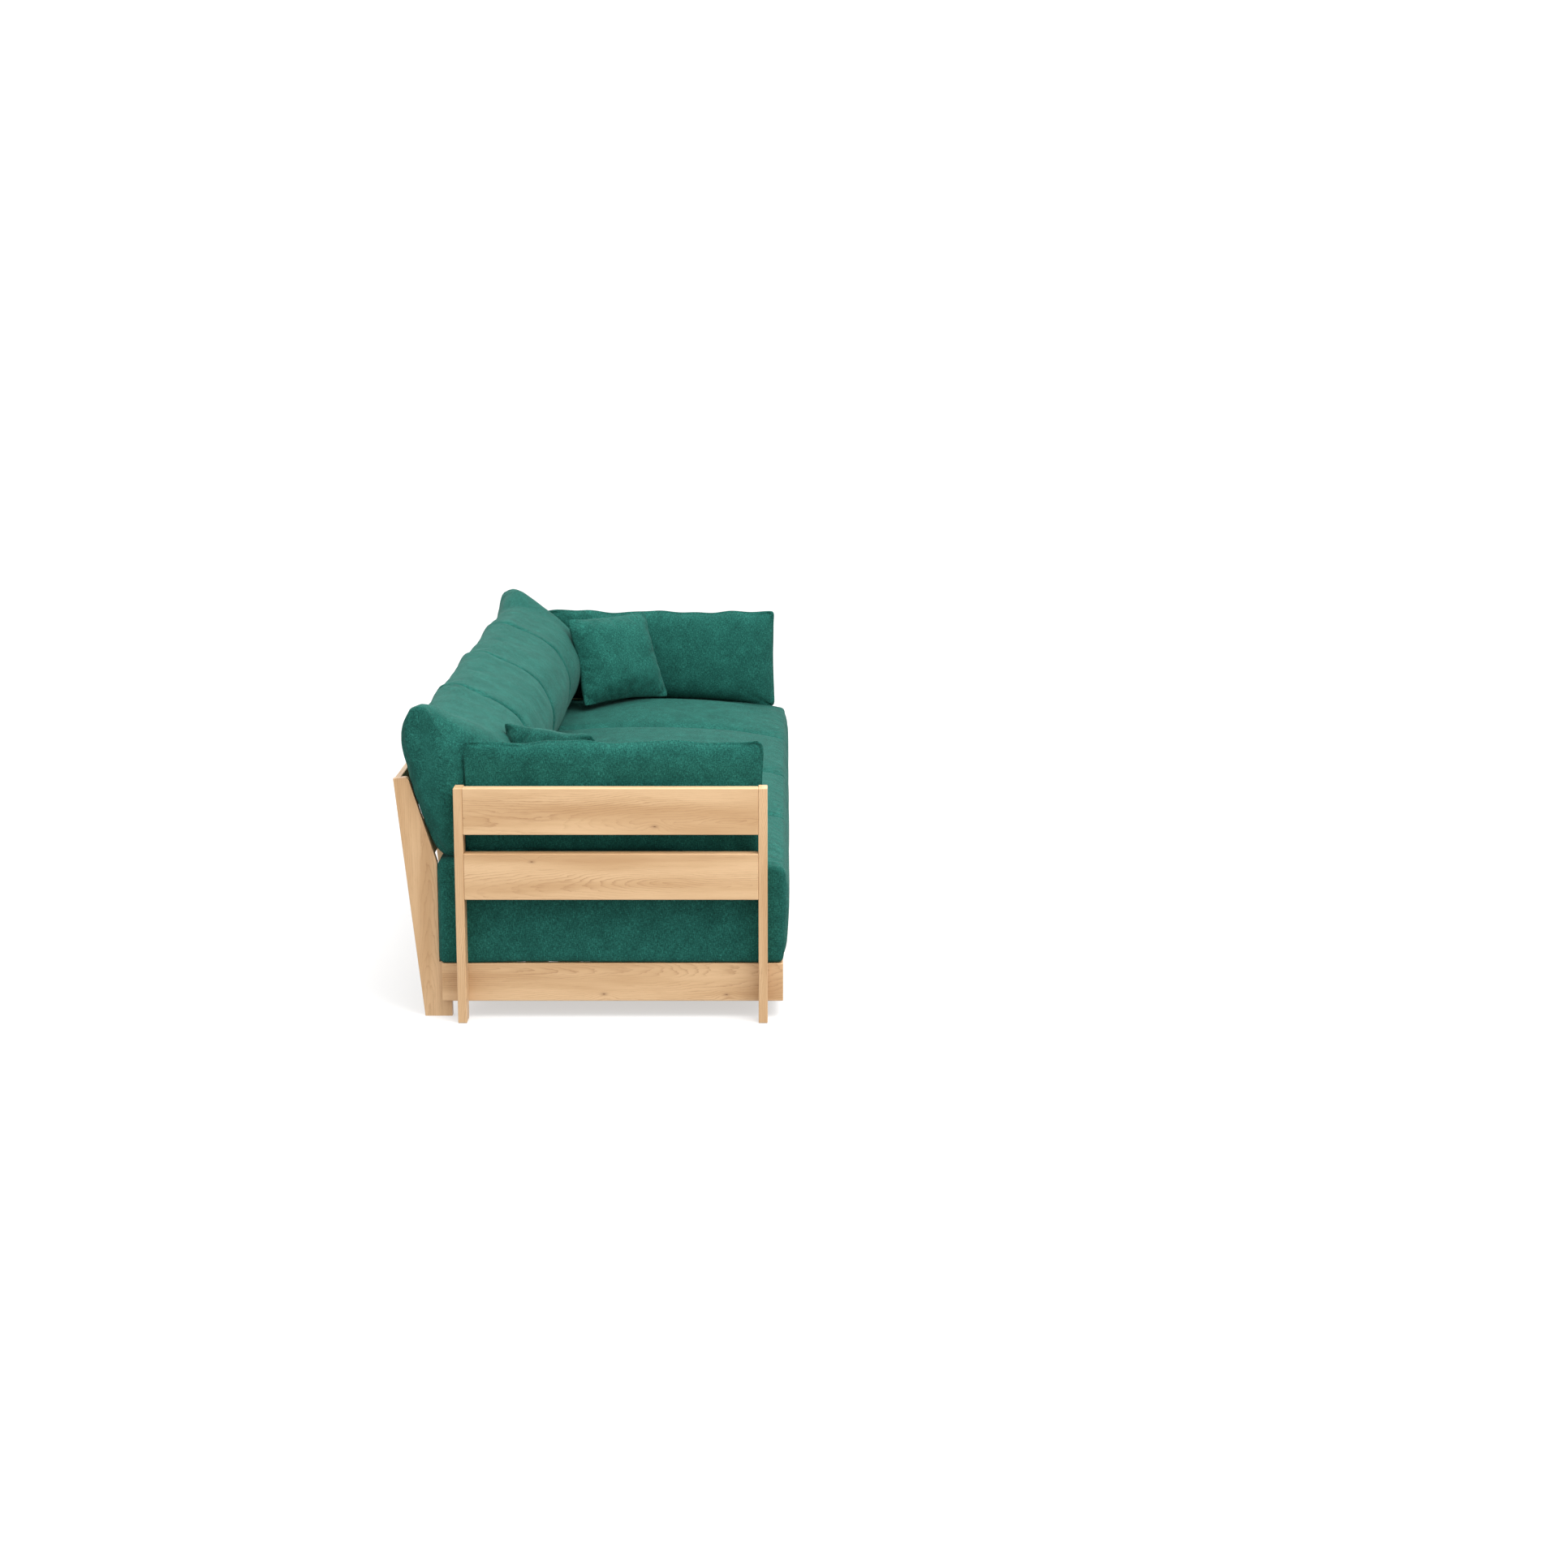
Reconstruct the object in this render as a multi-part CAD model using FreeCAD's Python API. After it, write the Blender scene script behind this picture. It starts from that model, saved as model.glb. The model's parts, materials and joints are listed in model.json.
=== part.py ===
import FreeCAD, Part
import math
import os

os.makedirs("parts", exist_ok=True)

# A four-seat platform sofa with a knock-down wooden frame and loose cushions, in millimetres.
# X runs along the sofa, its front faces -Y and +Z is up. The origin is on the floor, in the
# middle of the length and of the overall depth. Depths are counted back from the front face
# of the seat platform, and y_at() turns them into Y.

# Driving dimensions
seats = 4
seat_pitch = 680
arm_depth_x = 55

platform_depth = 952
platform_bottom = 49
platform_height = 108
platform_board = 22
rear_rail_inset = 24

arm_front = 43
arm_length = 860
arm_height = 665
arm_post_width = 25
arm_board_thickness = 36
arm_board_height = 130
arm_board_gap = 53

leg_thickness = 24
leg_foot_rear = 1004
leg_top_rear = 1077
leg_top_rear_z = 677
leg_top_width = 41
leg_slant_start_z = 440
leg_shoulder_width = 33
leg_shoulder_round = 12
back_board_thickness = 18
back_board_height = 130
back_board_gap = 53

slats_per_seat = 10
slat_width = 62
slat_thickness = 15
slat_round = 2
slat_margin = 4
slat_end_gap = 1
ledger_size = 25

foot_width = 60
foot_depths = (90, 480)

dowel_radius = 4
dowel_length = 40
dowel_in_post = 14
rail_dowel_inset = 30
arm_dowel_inset = 35
back_dowel_shares = (0.25, 0.75)
bolt_radius = 4
bolt_head_radius = 6.5
bolt_head_height = 5
bolt_socket_radius = 2.5
bolt_socket_depth = 3
bolt_in_post = 38
bolt_heights = (24, 54)
seam_bolt_depths = (150, 700)
leg_bolt_heights = (13, 54)
leg_bolt_radius = 3
leg_bolt_length = 58
nut_height = 6

seat_bulge = 12
seat_rear = 958
seat_top = 468
seat_lift = 0.5
seat_round = 34
cushion_gap = 2
arm_cushion_front = 50
arm_cushion_rear = 884
arm_cushion_bottom = seat_top + 2
arm_cushion_top = 782
arm_cushion_foot = 115
arm_cushion_crest = 52
arm_cushion_knee = 150
arm_crest_round = 18
tuck_start = 745
tuck_width = 8
tuck_gap = 8
pillow_width = 340
pillow_height = 326
pillow_thickness = 80
pillow_turn = 52
pillow_lean = 18
pillow_round = 30
pillow_inset = 305
pillow_depth = 592
pillow_middle_z = 645

edge_round = 2.5

# Worked out from them
sofa_length = seats * seat_pitch + 2 * arm_depth_x
platform_top = platform_bottom + platform_height
rear_rail_rear = platform_depth - rear_rail_inset
overall_depth = seat_bulge + leg_top_rear
front_y = seat_bulge - overall_depth / 2
arm_rear = arm_front + arm_length
leg_lean = math.atan2(leg_top_rear - leg_foot_rear, leg_top_rear_z)
first_seat_x = -seats * seat_pitch / 2
half_length = sofa_length / 2

bolts = []
dowels = []


def y_at(depth):
    """Y of a depth behind the platform's front face."""
    return front_y + depth


def point(x, depth, z):
    return FreeCAD.Vector(x, y_at(depth), z)


def block(x0, x1, depth0, depth1, z0, z1, rounding=edge_round):
    """Rectangular piece between two corners, with its edges eased."""
    solid = Part.makeBox(x1 - x0, depth1 - depth0, z1 - z0, point(x0, depth0, z0))
    return solid.makeFillet(rounding, solid.Edges) if rounding else solid


def prism(outline, x0, x1):
    """Side outline of (depth, z) corners, extruded from x0 to x1."""
    corners = [point(x0, depth, z) for depth, z in outline]
    face = Part.Face(Part.makePolygon(corners + corners[:1]))
    return face.extrude(FreeCAD.Vector(x1 - x0, 0, 0))


def long_edges(solid):
    """Edges that run along X."""
    return [e for e in solid.Edges if abs(e.tangentAt(e.FirstParameter).x) > 0.99]


def cylinder(start, direction, radius, length):
    return Part.makeCylinder(radius, length, start, FreeCAD.Vector(*direction))


def bore(solid, pieces):
    """Cut the room for bolts or dowels out of a piece of wood."""
    reach = solid.BoundBox
    close = [p for p in pieces if reach.intersect(p.BoundBox)]
    return solid.cut(close) if close else solid


def add_bolt(head_seat, direction, shank_length, radius=bolt_radius):
    """Socket-head bolt: the head stands on head_seat and the shank runs along direction."""
    along = FreeCAD.Vector(*direction)
    back = along * -bolt_head_height
    shank = Part.makeCylinder(radius, shank_length, head_seat, along)
    head = Part.makeCylinder(bolt_head_radius, bolt_head_height, head_seat + back, along)
    socket = Part.makeCylinder(bolt_socket_radius, bolt_socket_depth, head_seat + back, along)
    bolts.append(head.fuse(shank).removeSplitter().cut(socket))


def add_nut(seat, direction):
    """Round nut on the end of a bolt that comes through."""
    along = FreeCAD.Vector(*direction)
    ring = Part.makeCylinder(bolt_head_radius, nut_height, seat, along)
    bolts.append(ring.cut(Part.makeCylinder(bolt_radius, nut_height, seat, along)))


def add_dowel(start, direction):
    dowels.append(cylinder(start, direction, dowel_radius, dowel_length))


def module_span(index):
    """X of the two ends of one seat module."""
    left = first_seat_x + index * seat_pitch
    return left, left + seat_pitch


def leg_outline():
    """Wedge leg: straight rear edge, shoulder over the rear rail and a slanted front edge."""
    top_front = leg_top_rear - leg_top_width * math.cos(leg_lean)
    top_front_z = leg_top_rear_z + leg_top_width * math.sin(leg_lean)
    shoulder = rear_rail_rear + leg_shoulder_width
    return [
        (rear_rail_rear, 0),
        (leg_foot_rear, 0),
        (leg_top_rear, leg_top_rear_z),
        (top_front, top_front_z),
        (shoulder, leg_slant_start_z),
        (shoulder, platform_top),
        (rear_rail_rear, platform_top),
    ]


def wedge_leg(x0):
    leg = prism(leg_outline(), x0, x0 + leg_thickness)
    nose = max(long_edges(leg), key=lambda e: e.Vertexes[0].Z)
    leg = leg.makeFillet(leg_shoulder_round, [nose])
    long = [e for e in leg.Edges if e.Length > leg_slant_start_z]
    rear = [e for e in long if e.Vertexes[0].Y > y_at(leg_foot_rear) - 1]
    return leg.makeFillet(edge_round, rear)


def back_board(x0, x1, top_z):
    """Board whose rear face lies in the plane of the legs' rear edges."""
    up = (math.sin(leg_lean), math.cos(leg_lean))
    ahead = (-math.cos(leg_lean), math.sin(leg_lean))
    top = (leg_foot_rear + top_z * math.tan(leg_lean), top_z)
    low = (top[0] - up[0] * back_board_height, top[1] - up[1] * back_board_height)
    outline = [
        low,
        top,
        (top[0] + ahead[0] * back_board_thickness, top[1] + ahead[1] * back_board_thickness),
        (low[0] + ahead[0] * back_board_thickness, low[1] + ahead[1] * back_board_thickness),
    ]
    board = prism(outline, x0, x1)
    for share in back_dowel_shares:
        along = back_board_height * share
        depth = low[0] + up[0] * along + ahead[0] * back_board_thickness / 2
        z = low[1] + up[1] * along + ahead[1] * back_board_thickness / 2
        add_dowel(point(x0 - dowel_in_post, depth, z), (1, 0, 0))
        add_dowel(point(x1 + dowel_in_post, depth, z), (-1, 0, 0))
    return board.makeFillet(edge_round, long_edges(board))


def slat_set(x0, x1):
    """Loose slats across one module, resting on the two ledgers."""
    front = platform_board + slat_margin
    rear = rear_rail_rear - platform_board - slat_margin
    pitch = (rear - slat_width - front) / (slats_per_seat - 1)
    left, right = x0 + slat_end_gap, x1 - slat_end_gap
    low = platform_top - slat_thickness
    slats = []
    for number in range(slats_per_seat):
        start = front + number * pitch
        slats.append(block(left, right, start, start + slat_width, low, platform_top, slat_round))
    return Part.makeCompound(slats)


def build_module(index, wood, ledgers):
    """Platform box, slats and back frame of one seat."""
    number = index + 1
    left, right = module_span(index)
    inner_left = left + platform_board
    inner_right = right - platform_board
    base, top = platform_bottom, platform_top
    wood[f"left_side_board_{number}"] = block(left, inner_left, 0, platform_depth, base, top)
    wood[f"right_side_board_{number}"] = block(inner_right, right, 0, platform_depth, base, top)
    wood[f"front_rail_{number}"] = block(inner_left, inner_right, 0, platform_board, base, top)
    wood[f"rear_rail_{number}"] = block(
        inner_left, inner_right, rear_rail_rear - platform_board, rear_rail_rear, base, top
    )
    wood[f"slats_{number}"] = slat_set(inner_left, inner_right)

    ledger_top = platform_top - slat_thickness
    ledger_rear = rear_rail_rear - platform_board
    for x in (inner_left, inner_right - ledger_size):
        end, low = x + ledger_size, ledger_top - ledger_size
        ledgers.append(block(x, end, platform_board, ledger_rear, low, ledger_top, slat_round))

    for depth in (platform_board / 2, rear_rail_rear - platform_board / 2):
        for z in (base + rail_dowel_inset, top - rail_dowel_inset):
            add_dowel(point(inner_left - dowel_in_post, depth, z), (1, 0, 0))
            add_dowel(point(inner_right + dowel_in_post, depth, z), (-1, 0, 0))

    leg_right = inner_right - leg_thickness
    wood[f"back_leg_left_{number}"] = wedge_leg(inner_left)
    wood[f"back_leg_right_{number}"] = wedge_leg(leg_right)
    for x in (inner_left + leg_thickness / 2, leg_right + leg_thickness / 2):
        for height in leg_bolt_heights:
            head_seat = point(x, rear_rail_rear - platform_board, base + height)
            add_bolt(head_seat, (0, 1, 0), leg_bolt_length, leg_bolt_radius)

    upper = leg_top_rear_z - back_board_thickness * math.sin(leg_lean)
    lower = upper - (back_board_height + back_board_gap) * math.cos(leg_lean)
    board_left, board_right = inner_left + leg_thickness, leg_right
    wood[f"back_board_upper_{number}"] = back_board(board_left, board_right, upper)
    wood[f"back_board_lower_{number}"] = back_board(board_left, board_right, lower)


def join_modules(index):
    """Bolts through the two side boards where one module meets the next."""
    seam = module_span(index)[1]
    for depth in seam_bolt_depths:
        z = platform_bottom + bolt_heights[0]
        add_bolt(point(seam - platform_board, depth, z), (1, 0, 0), 2 * platform_board + nut_height)
        add_nut(point(seam + platform_board, depth, z), (1, 0, 0))


def build_arm(side, name, wood):
    """Arm frame: two posts with two boards doweled between them. side is -1 left, +1 right."""
    outer = side * half_length
    inner = outer - side * arm_depth_x
    board_inner = outer - side * arm_board_thickness
    post_x = sorted((outer, inner))
    board_x = sorted((outer, board_inner))
    posts = {"front": arm_front, "rear": arm_rear - arm_post_width}
    for place, depth in posts.items():
        wood[f"{name}_arm_{place}_post"] = block(*post_x, depth, depth + arm_post_width, 0, arm_height)
        for height in bolt_heights:
            x = inner - side * platform_board
            head_seat = point(x, depth + arm_post_width / 2, platform_bottom + height)
            add_bolt(head_seat, (side, 0, 0), platform_board + bolt_in_post)
    board_front, board_rear = arm_front + arm_post_width, arm_rear - arm_post_width
    for place, lift in (("upper", 0), ("lower", arm_board_height + arm_board_gap)):
        top = arm_height - lift
        low = top - arm_board_height
        wood[f"{name}_arm_{place}_board"] = block(*board_x, board_front, board_rear, low, top)
        for z in (low + arm_dowel_inset, top - arm_dowel_inset):
            x = outer - side * arm_board_thickness / 2
            add_dowel(point(x, board_front - dowel_in_post, z), (0, 1, 0))
            add_dowel(point(x, board_rear + dowel_in_post, z), (0, -1, 0))


def support_feet():
    """Blocks under the side boards where two modules meet."""
    feet = []
    for index in range(seats - 1):
        seam = module_span(index)[1]
        for depth in foot_depths:
            half = foot_width / 2
            feet.append(block(seam - half, seam + half, depth - half, depth + half, 0, platform_bottom))
    return Part.makeCompound(feet)


def seat_cushion(index):
    left, right = module_span(index)
    x0, x1 = left + cushion_gap, right - cushion_gap
    return block(x0, x1, -seat_bulge, seat_rear, platform_top + seat_lift, seat_top, seat_round)


def back_outline():
    """Side outline of a back cushion: narrow foot, full front, rounded crest that leans back."""
    return [
        (812, seat_top + 2),
        (760, 560),
        (757, 655),
        (812, 758),
        (905, 836),
        (990, 868),
        (1040, 842),
        (1046, 775),
        (1020, 665),
        (978, 550),
        (925, seat_top + 2),
    ]


def arm_side_room(side, spare):
    """Tall block over the arm cushion's place in plan, with its slanted rear moved back by spare."""
    arm_face = side * (half_length - arm_depth_x)
    slope = (arm_cushion_rear - tuck_start) / (arm_cushion_foot - tuck_width)
    outside, inside = 2 * arm_cushion_foot, 3 * arm_cushion_foot
    rear = arm_cushion_rear + spare
    corners = [
        (arm_face + side * outside, rear + slope * (tuck_width + outside)),
        (arm_face - side * inside, rear - slope * inside),
        (arm_face - side * inside, -overall_depth),
        (arm_face + side * outside, -overall_depth),
    ]
    wire = [point(x, depth, 0) for x, depth in corners]
    return Part.Face(Part.makePolygon(wire + wire[:1])).extrude(FreeCAD.Vector(0, 0, overall_depth))


def back_cushion(index):
    left, right = module_span(index)
    outline = [point(left + cushion_gap, depth, z) for depth, z in back_outline()]
    crest = Part.BSplineCurve()
    crest.interpolate(outline)
    foot = Part.LineSegment(outline[-1], outline[0])
    face = Part.Face(Part.Wire([crest.toShape(), foot.toShape()]))
    solid = face.extrude(FreeCAD.Vector(seat_pitch - 2 * cushion_gap, 0, 0))
    if index == 0:
        solid = solid.cut(arm_side_room(-1, tuck_gap))
    if index == seats - 1:
        solid = solid.cut(arm_side_room(1, tuck_gap))
    return solid


def arm_cushion(side):
    """Tall cushion inside the arm frame: thin crest, and a rear end that tucks in sideways."""
    edge = half_length - arm_depth_x - cushion_gap
    outline = [
        (edge, arm_cushion_bottom),
        (edge, arm_cushion_top),
        (edge - arm_cushion_crest, arm_cushion_top),
        (edge - arm_cushion_foot, arm_cushion_bottom + arm_cushion_knee),
        (edge - arm_cushion_foot, arm_cushion_bottom),
    ]
    corners = [point(side * x, arm_cushion_front, z) for x, z in outline]
    face = Part.Face(Part.makePolygon(corners + corners[:1]))
    solid = face.extrude(FreeCAD.Vector(0, arm_cushion_rear - arm_cushion_front, 0))
    solid = solid.common(arm_side_room(side, 0)).Solids[0]
    crest = [e for e in solid.Edges if min(v.Z for v in e.Vertexes) > arm_cushion_top - 1]
    lengthwise = [e for e in crest if abs(e.tangentAt(e.FirstParameter).y) > 0.99]
    return solid.makeFillet(arm_crest_round, lengthwise)


def throw_pillow(side):
    """Square pillow that leans into the corner between arm and back cushion."""
    slab = Part.makeBox(pillow_width, pillow_thickness, pillow_height)
    slab = slab.makeFillet(pillow_round, slab.Edges)
    slab.translate(FreeCAD.Vector(-pillow_width / 2, -pillow_thickness / 2, -pillow_height / 2))
    slab.rotate(FreeCAD.Vector(), FreeCAD.Vector(1, 0, 0), -pillow_lean)
    slab.rotate(FreeCAD.Vector(), FreeCAD.Vector(0, 0, 1), -side * pillow_turn)
    slab.translate(point(side * (half_length - pillow_inset), pillow_depth, pillow_middle_z))
    return slab


wood = {}
ledgers = []
for index in range(seats):
    build_module(index, wood, ledgers)
for index in range(seats - 1):
    join_modules(index)
build_arm(-1, "left", wood)
build_arm(1, "right", wood)

fixings = bolts + dowels
nodes = {}
for name, solid in wood.items():
    nodes[name] = solid if name.startswith("slats") else bore(solid, fixings)
nodes["slat_ledgers"] = Part.makeCompound(ledgers)
nodes["support_feet"] = support_feet()
nodes["frame_bolts"] = Part.makeCompound(bolts)
nodes["dowels"] = Part.makeCompound(dowels)
for index in range(seats):
    nodes[f"seat_cushion_{index + 1}"] = seat_cushion(index)
    nodes[f"back_cushion_{index + 1}"] = back_cushion(index)
for side, name in ((-1, "left"), (1, "right")):
    nodes[f"{name}_arm_cushion"] = arm_cushion(side)
    nodes[f"{name}_throw_pillow"] = throw_pillow(side)

for name, shape in nodes.items():
    shape.exportStep(f"parts/{name}.step")

whole = Part.makeCompound(list(nodes.values())).BoundBox
print(len(nodes), "nodes")
print("X", round(whole.XMin, 1), round(whole.XMax, 1))
print("Y", round(whole.YMin, 1), round(whole.YMax, 1))
print("Z", round(whole.ZMin, 1), round(whole.ZMax, 1))
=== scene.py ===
import json
import math

import bpy
import numpy as np
from mathutils import Matrix, Vector


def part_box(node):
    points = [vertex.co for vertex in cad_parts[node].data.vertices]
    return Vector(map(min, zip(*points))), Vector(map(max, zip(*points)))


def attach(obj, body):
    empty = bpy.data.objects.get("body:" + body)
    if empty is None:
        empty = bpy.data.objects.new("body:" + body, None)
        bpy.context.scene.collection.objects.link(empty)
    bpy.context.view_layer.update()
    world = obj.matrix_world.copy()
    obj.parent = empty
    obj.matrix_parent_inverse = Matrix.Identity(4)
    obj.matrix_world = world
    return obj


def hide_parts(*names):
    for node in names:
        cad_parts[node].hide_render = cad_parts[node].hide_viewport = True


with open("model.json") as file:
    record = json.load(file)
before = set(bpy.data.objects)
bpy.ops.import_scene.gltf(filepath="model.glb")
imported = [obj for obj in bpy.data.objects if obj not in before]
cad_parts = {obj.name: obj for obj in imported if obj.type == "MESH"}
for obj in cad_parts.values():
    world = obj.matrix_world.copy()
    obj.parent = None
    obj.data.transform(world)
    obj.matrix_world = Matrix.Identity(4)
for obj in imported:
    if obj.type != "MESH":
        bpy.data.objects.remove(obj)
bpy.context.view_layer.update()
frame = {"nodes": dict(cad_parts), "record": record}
nodes = frame["nodes"]
bodies = frame["record"]["behaviour"]["bodies"]

bpy.context.scene.view_settings.view_transform = "Standard"

# depths are counted back from the front face of the seat platform
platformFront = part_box("left_side_board_1")[0].y
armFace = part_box("right_arm_front_post")[0].x      # inner face of the arm, from the middle
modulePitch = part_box("seat_cushion_2")[0].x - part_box("seat_cushion_1")[0].x


def middleOf(name):
    # the middle of a node's box, from side to side
    low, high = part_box(name)
    return (low.x + high.x) / 2


def clearSelection():
    bpy.ops.object.select_all(action="DESELECT")


def makeActive(obj):
    clearSelection()
    obj.select_set(True)
    bpy.context.view_layer.objects.active = obj


def applyModifier(obj, kind, **settings):
    # adds one modifier, sets it up and applies it
    makeActive(obj)
    modifier = obj.modifiers.new(kind.title(), kind)
    for key, value in settings.items():
        setattr(modifier, key, value)
    bpy.ops.object.modifier_apply(modifier=modifier.name)


def readPoints(obj):
    points = np.empty(len(obj.data.vertices) * 3)
    obj.data.vertices.foreach_get("co", points)
    return points.reshape(-1, 3)


def readNormals(obj):
    normals = np.empty(len(obj.data.vertices) * 3)
    obj.data.vertices.foreach_get("normal", normals)
    return normals.reshape(-1, 3)


def writePoints(obj, points):
    obj.data.vertices.foreach_set("co", np.ascontiguousarray(points, dtype=float).ravel())
    obj.data.update()


def smoothStep(low, high, value):
    t = np.clip((value - low) / (high - low), 0, 1)
    return t * t * (3 - 2 * t)


view = {
    "distance": 7.27,      # from the arm's outer face to the lens
    "height": 2.1,
    "aside": -0.0023,      # from the platform's front face
    "pitchDown": 11.07,
    "lens": 62.29,
    "sensor": 36,
}


def makeCamera():
    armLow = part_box("left_arm_front_post")[0]
    bpy.ops.object.camera_add(
        location=(armLow.x - view["distance"], platformFront + view["aside"], view["height"]),
        rotation=(math.radians(90 - view["pitchDown"]), 0, math.radians(-90)),
    )
    camera = bpy.context.object
    camera.data.lens = view["lens"]
    camera.data.sensor_width = view["sensor"]
    camera.data.clip_end = 200
    bpy.context.scene.camera = camera


makeCamera()
print("camera is set")


class Wire:
    # one output socket; sums on it add Math nodes
    def __init__(self, sheet, socket):
        self.sheet, self.socket = sheet, socket

    def sum(self, operation, *others):
        sockets = dict(enumerate((self,) + others))
        return self.sheet.add("ShaderNodeMath", {"operation": operation}, sockets)

    def turned(self, operation, first):
        return self.sheet.add("ShaderNodeMath", {"operation": operation}, {0: first, 1: self})

    def __add__(self, other):
        return self.sum("ADD", other)

    def __sub__(self, other):
        return self.sum("SUBTRACT", other)

    def __rsub__(self, other):
        return self.turned("SUBTRACT", other)

    def __mul__(self, other):
        return self.sum("MULTIPLY", other)

    def __truediv__(self, other):
        return self.sum("DIVIDE", other)

    def __pow__(self, other):
        return self.sum("POWER", other)

    __radd__ = __add__


class ShaderSheet:
    # the nodes of one material or world
    def __init__(self, owner, shader="Principled BSDF"):
        self.owner = owner
        owner.use_nodes = True
        self.tree = owner.node_tree
        self.shader = self.tree.nodes[shader]

    def add(self, kind, settings=None, sockets=None, output=0):
        # settings first, then each socket's value or link
        node = self.tree.nodes.new(kind)
        for key, value in (settings or {}).items():
            if key == "stops":
                self.fillRamp(node.color_ramp, value)
            else:
                setattr(node, key, value)
        for key, value in (sockets or {}).items():
            self.feed(node.inputs[key], value)
        return Wire(self, node.outputs[output])

    def fillRamp(self, ramp, stops):
        while len(ramp.elements) < len(stops):
            ramp.elements.new(1)
        for element, (place, colour) in zip(ramp.elements, stops):
            element.position, element.color = place, colour

    def feed(self, socket, value):
        if isinstance(value, Wire):
            self.tree.links.new(value.socket, socket)
        else:
            socket.default_value = value

    def finish(self, **sockets):
        # the shader's own sockets, with spaces for capitals
        for key, value in sockets.items():
            self.feed(self.shader.inputs[key.replace("_", " ")], value)
        return self.owner

    def blend(self, share, first, second):
        return self.add("ShaderNodeMix", {"data_type": "RGBA"}, {0: share, 6: first, 7: second}, output=2)

    def noise(self, vector, scale, detail=2.0, roughness=0.5, distortion=0.0):
        sockets = {"Vector": vector, "Scale": scale, "Detail": detail,
                   "Roughness": roughness, "Distortion": distortion}
        return self.add("ShaderNodeTexNoise", None, sockets)

    def stretch(self, vector, scale):
        return self.add("ShaderNodeMapping", None, {"Vector": vector, "Scale": scale})

    def step(self, value, low, high):
        # 0 under low, 1 over high, smooth between them
        settings = {"interpolation_type": "SMOOTHSTEP"}
        sockets = {"Value": value, "From Min": low, "From Max": high}
        return self.add("ShaderNodeMapRange", settings, sockets)

    def bump(self, height, strength, distance):
        sockets = {"Strength": strength, "Distance": distance, "Height": height}
        return self.add("ShaderNodeBump", None, sockets)


studio = {
    # brightness of the surroundings: 0 is straight down, 0.5 the horizon and 1 straight up
    "sky": [(0.0, 0.44), (0.47, 0.66), (0.5, 1.3), (1.0, 1.4)],
    "skyRange": 2.0,
    "lights": [
        # place, aims at, size, power
        ((-3.0, -2.0, 4.6), (0, 0, 0.3), 3.0, 215),
        ((0.4, -0.4, 4.6), (0, 0, 0.4), 4.0, 110),
    ],
    "floorColour": (0.42, 0.42, 0.42, 1),
    "floorGlow": 0.52,         # keeps the contact shadow pale
    "floorSize": 240,
}


def makeStudio():
    world = bpy.data.worlds.new("studioWorld")
    bpy.context.scene.world = world
    sheet = ShaderSheet(world, "Background")
    direction = sheet.add("ShaderNodeTexCoord")
    split = sheet.add("ShaderNodeSeparateXYZ", None, {0: direction}, output=2)
    greys = [(place, (level / studio["skyRange"],) * 3 + (1,)) for place, level in studio["sky"]]
    strength = sheet.add("ShaderNodeValToRGB", {"stops": greys}, {"Fac": split * 0.5 + 0.5})
    sheet.finish(Color=strength, Strength=studio["skyRange"])
    for place, aim, size, power in studio["lights"]:
        bpy.ops.object.light_add(type="AREA", location=place)
        light = bpy.context.object
        light.data.size = size
        light.data.energy = power
        light.rotation_euler = (Vector(place) - Vector(aim)).to_track_quat("Z", "Y").to_euler()
    clearSelection()
    bpy.ops.mesh.primitive_plane_add(size=studio["floorSize"])
    floor = bpy.context.object
    floor.name = "floor"
    floor.visible_diffuse = False    # the dark lower sky lights the sofa from below instead
    sheet = ShaderSheet(bpy.data.materials.new("floorPaper"))
    floor.data.materials.append(sheet.finish(
        Base_Color=studio["floorColour"],
        Roughness=0.9,
        Specular_IOR_Level=0.1,
        Emission_Color=(1, 1, 1, 1),
        Emission_Strength=studio["floorGlow"],
    ))


makeStudio()
print("lights and floor are set")


oak = {
    "light": (0.66, 0.440, 0.245, 1),
    "middle": (0.50, 0.300, 0.146, 1),
    "dark": (0.30, 0.145, 0.056, 1),
    "knot": (0.13, 0.05, 0.018, 1),
    "ringSpacing": 0.0046,
    "pithDepth": (0.035, 0.085),    # how far the heart of the tree is from the board
    "taper": (0.03, 0.075),         # slope of the rings along the board
    "waver": 0.04,
    "ripple": 0.0085,               # small wobble of the rings
    "lineStrength": 0.72,
    "fibre": 0.42,
    "wisps": 0.17,
    "knots": 2,
    "knotSize": (0.0016, 0.0032),
    "knotReach": 0.42,              # how far from the middle, as a share of the board's size
    # marks per metre along, across and through the board
    "scale": {"drift": (1.6, 5, 5), "ripple": (13, 60, 60), "strength": (2, 24, 24), "tone": (1.4, 14, 14),
              "fibre": (22, 640, 640), "wisps": (16, 240, 240), "pores": (75, 1500, 1500)},
    "bump": (0.22, 0.0006),         # strength and depth
    "roughness": 0.42,
}
birch = {
    **oak,
    "light": (0.66, 0.51, 0.33, 1),
    "middle": (0.58, 0.42, 0.25, 1),
    "dark": (0.46, 0.30, 0.16, 1),
    "lineStrength": 0.35,
    "wisps": 0.1,
    "knots": 0,
    "roughness": 0.6,
}
darkWood = {
    **oak,
    "light": (0.085, 0.05, 0.03, 1),
    "middle": (0.06, 0.035, 0.02, 1),
    "dark": (0.03, 0.017, 0.01, 1),
    "knots": 0,
    "roughness": 0.5,
}


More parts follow.
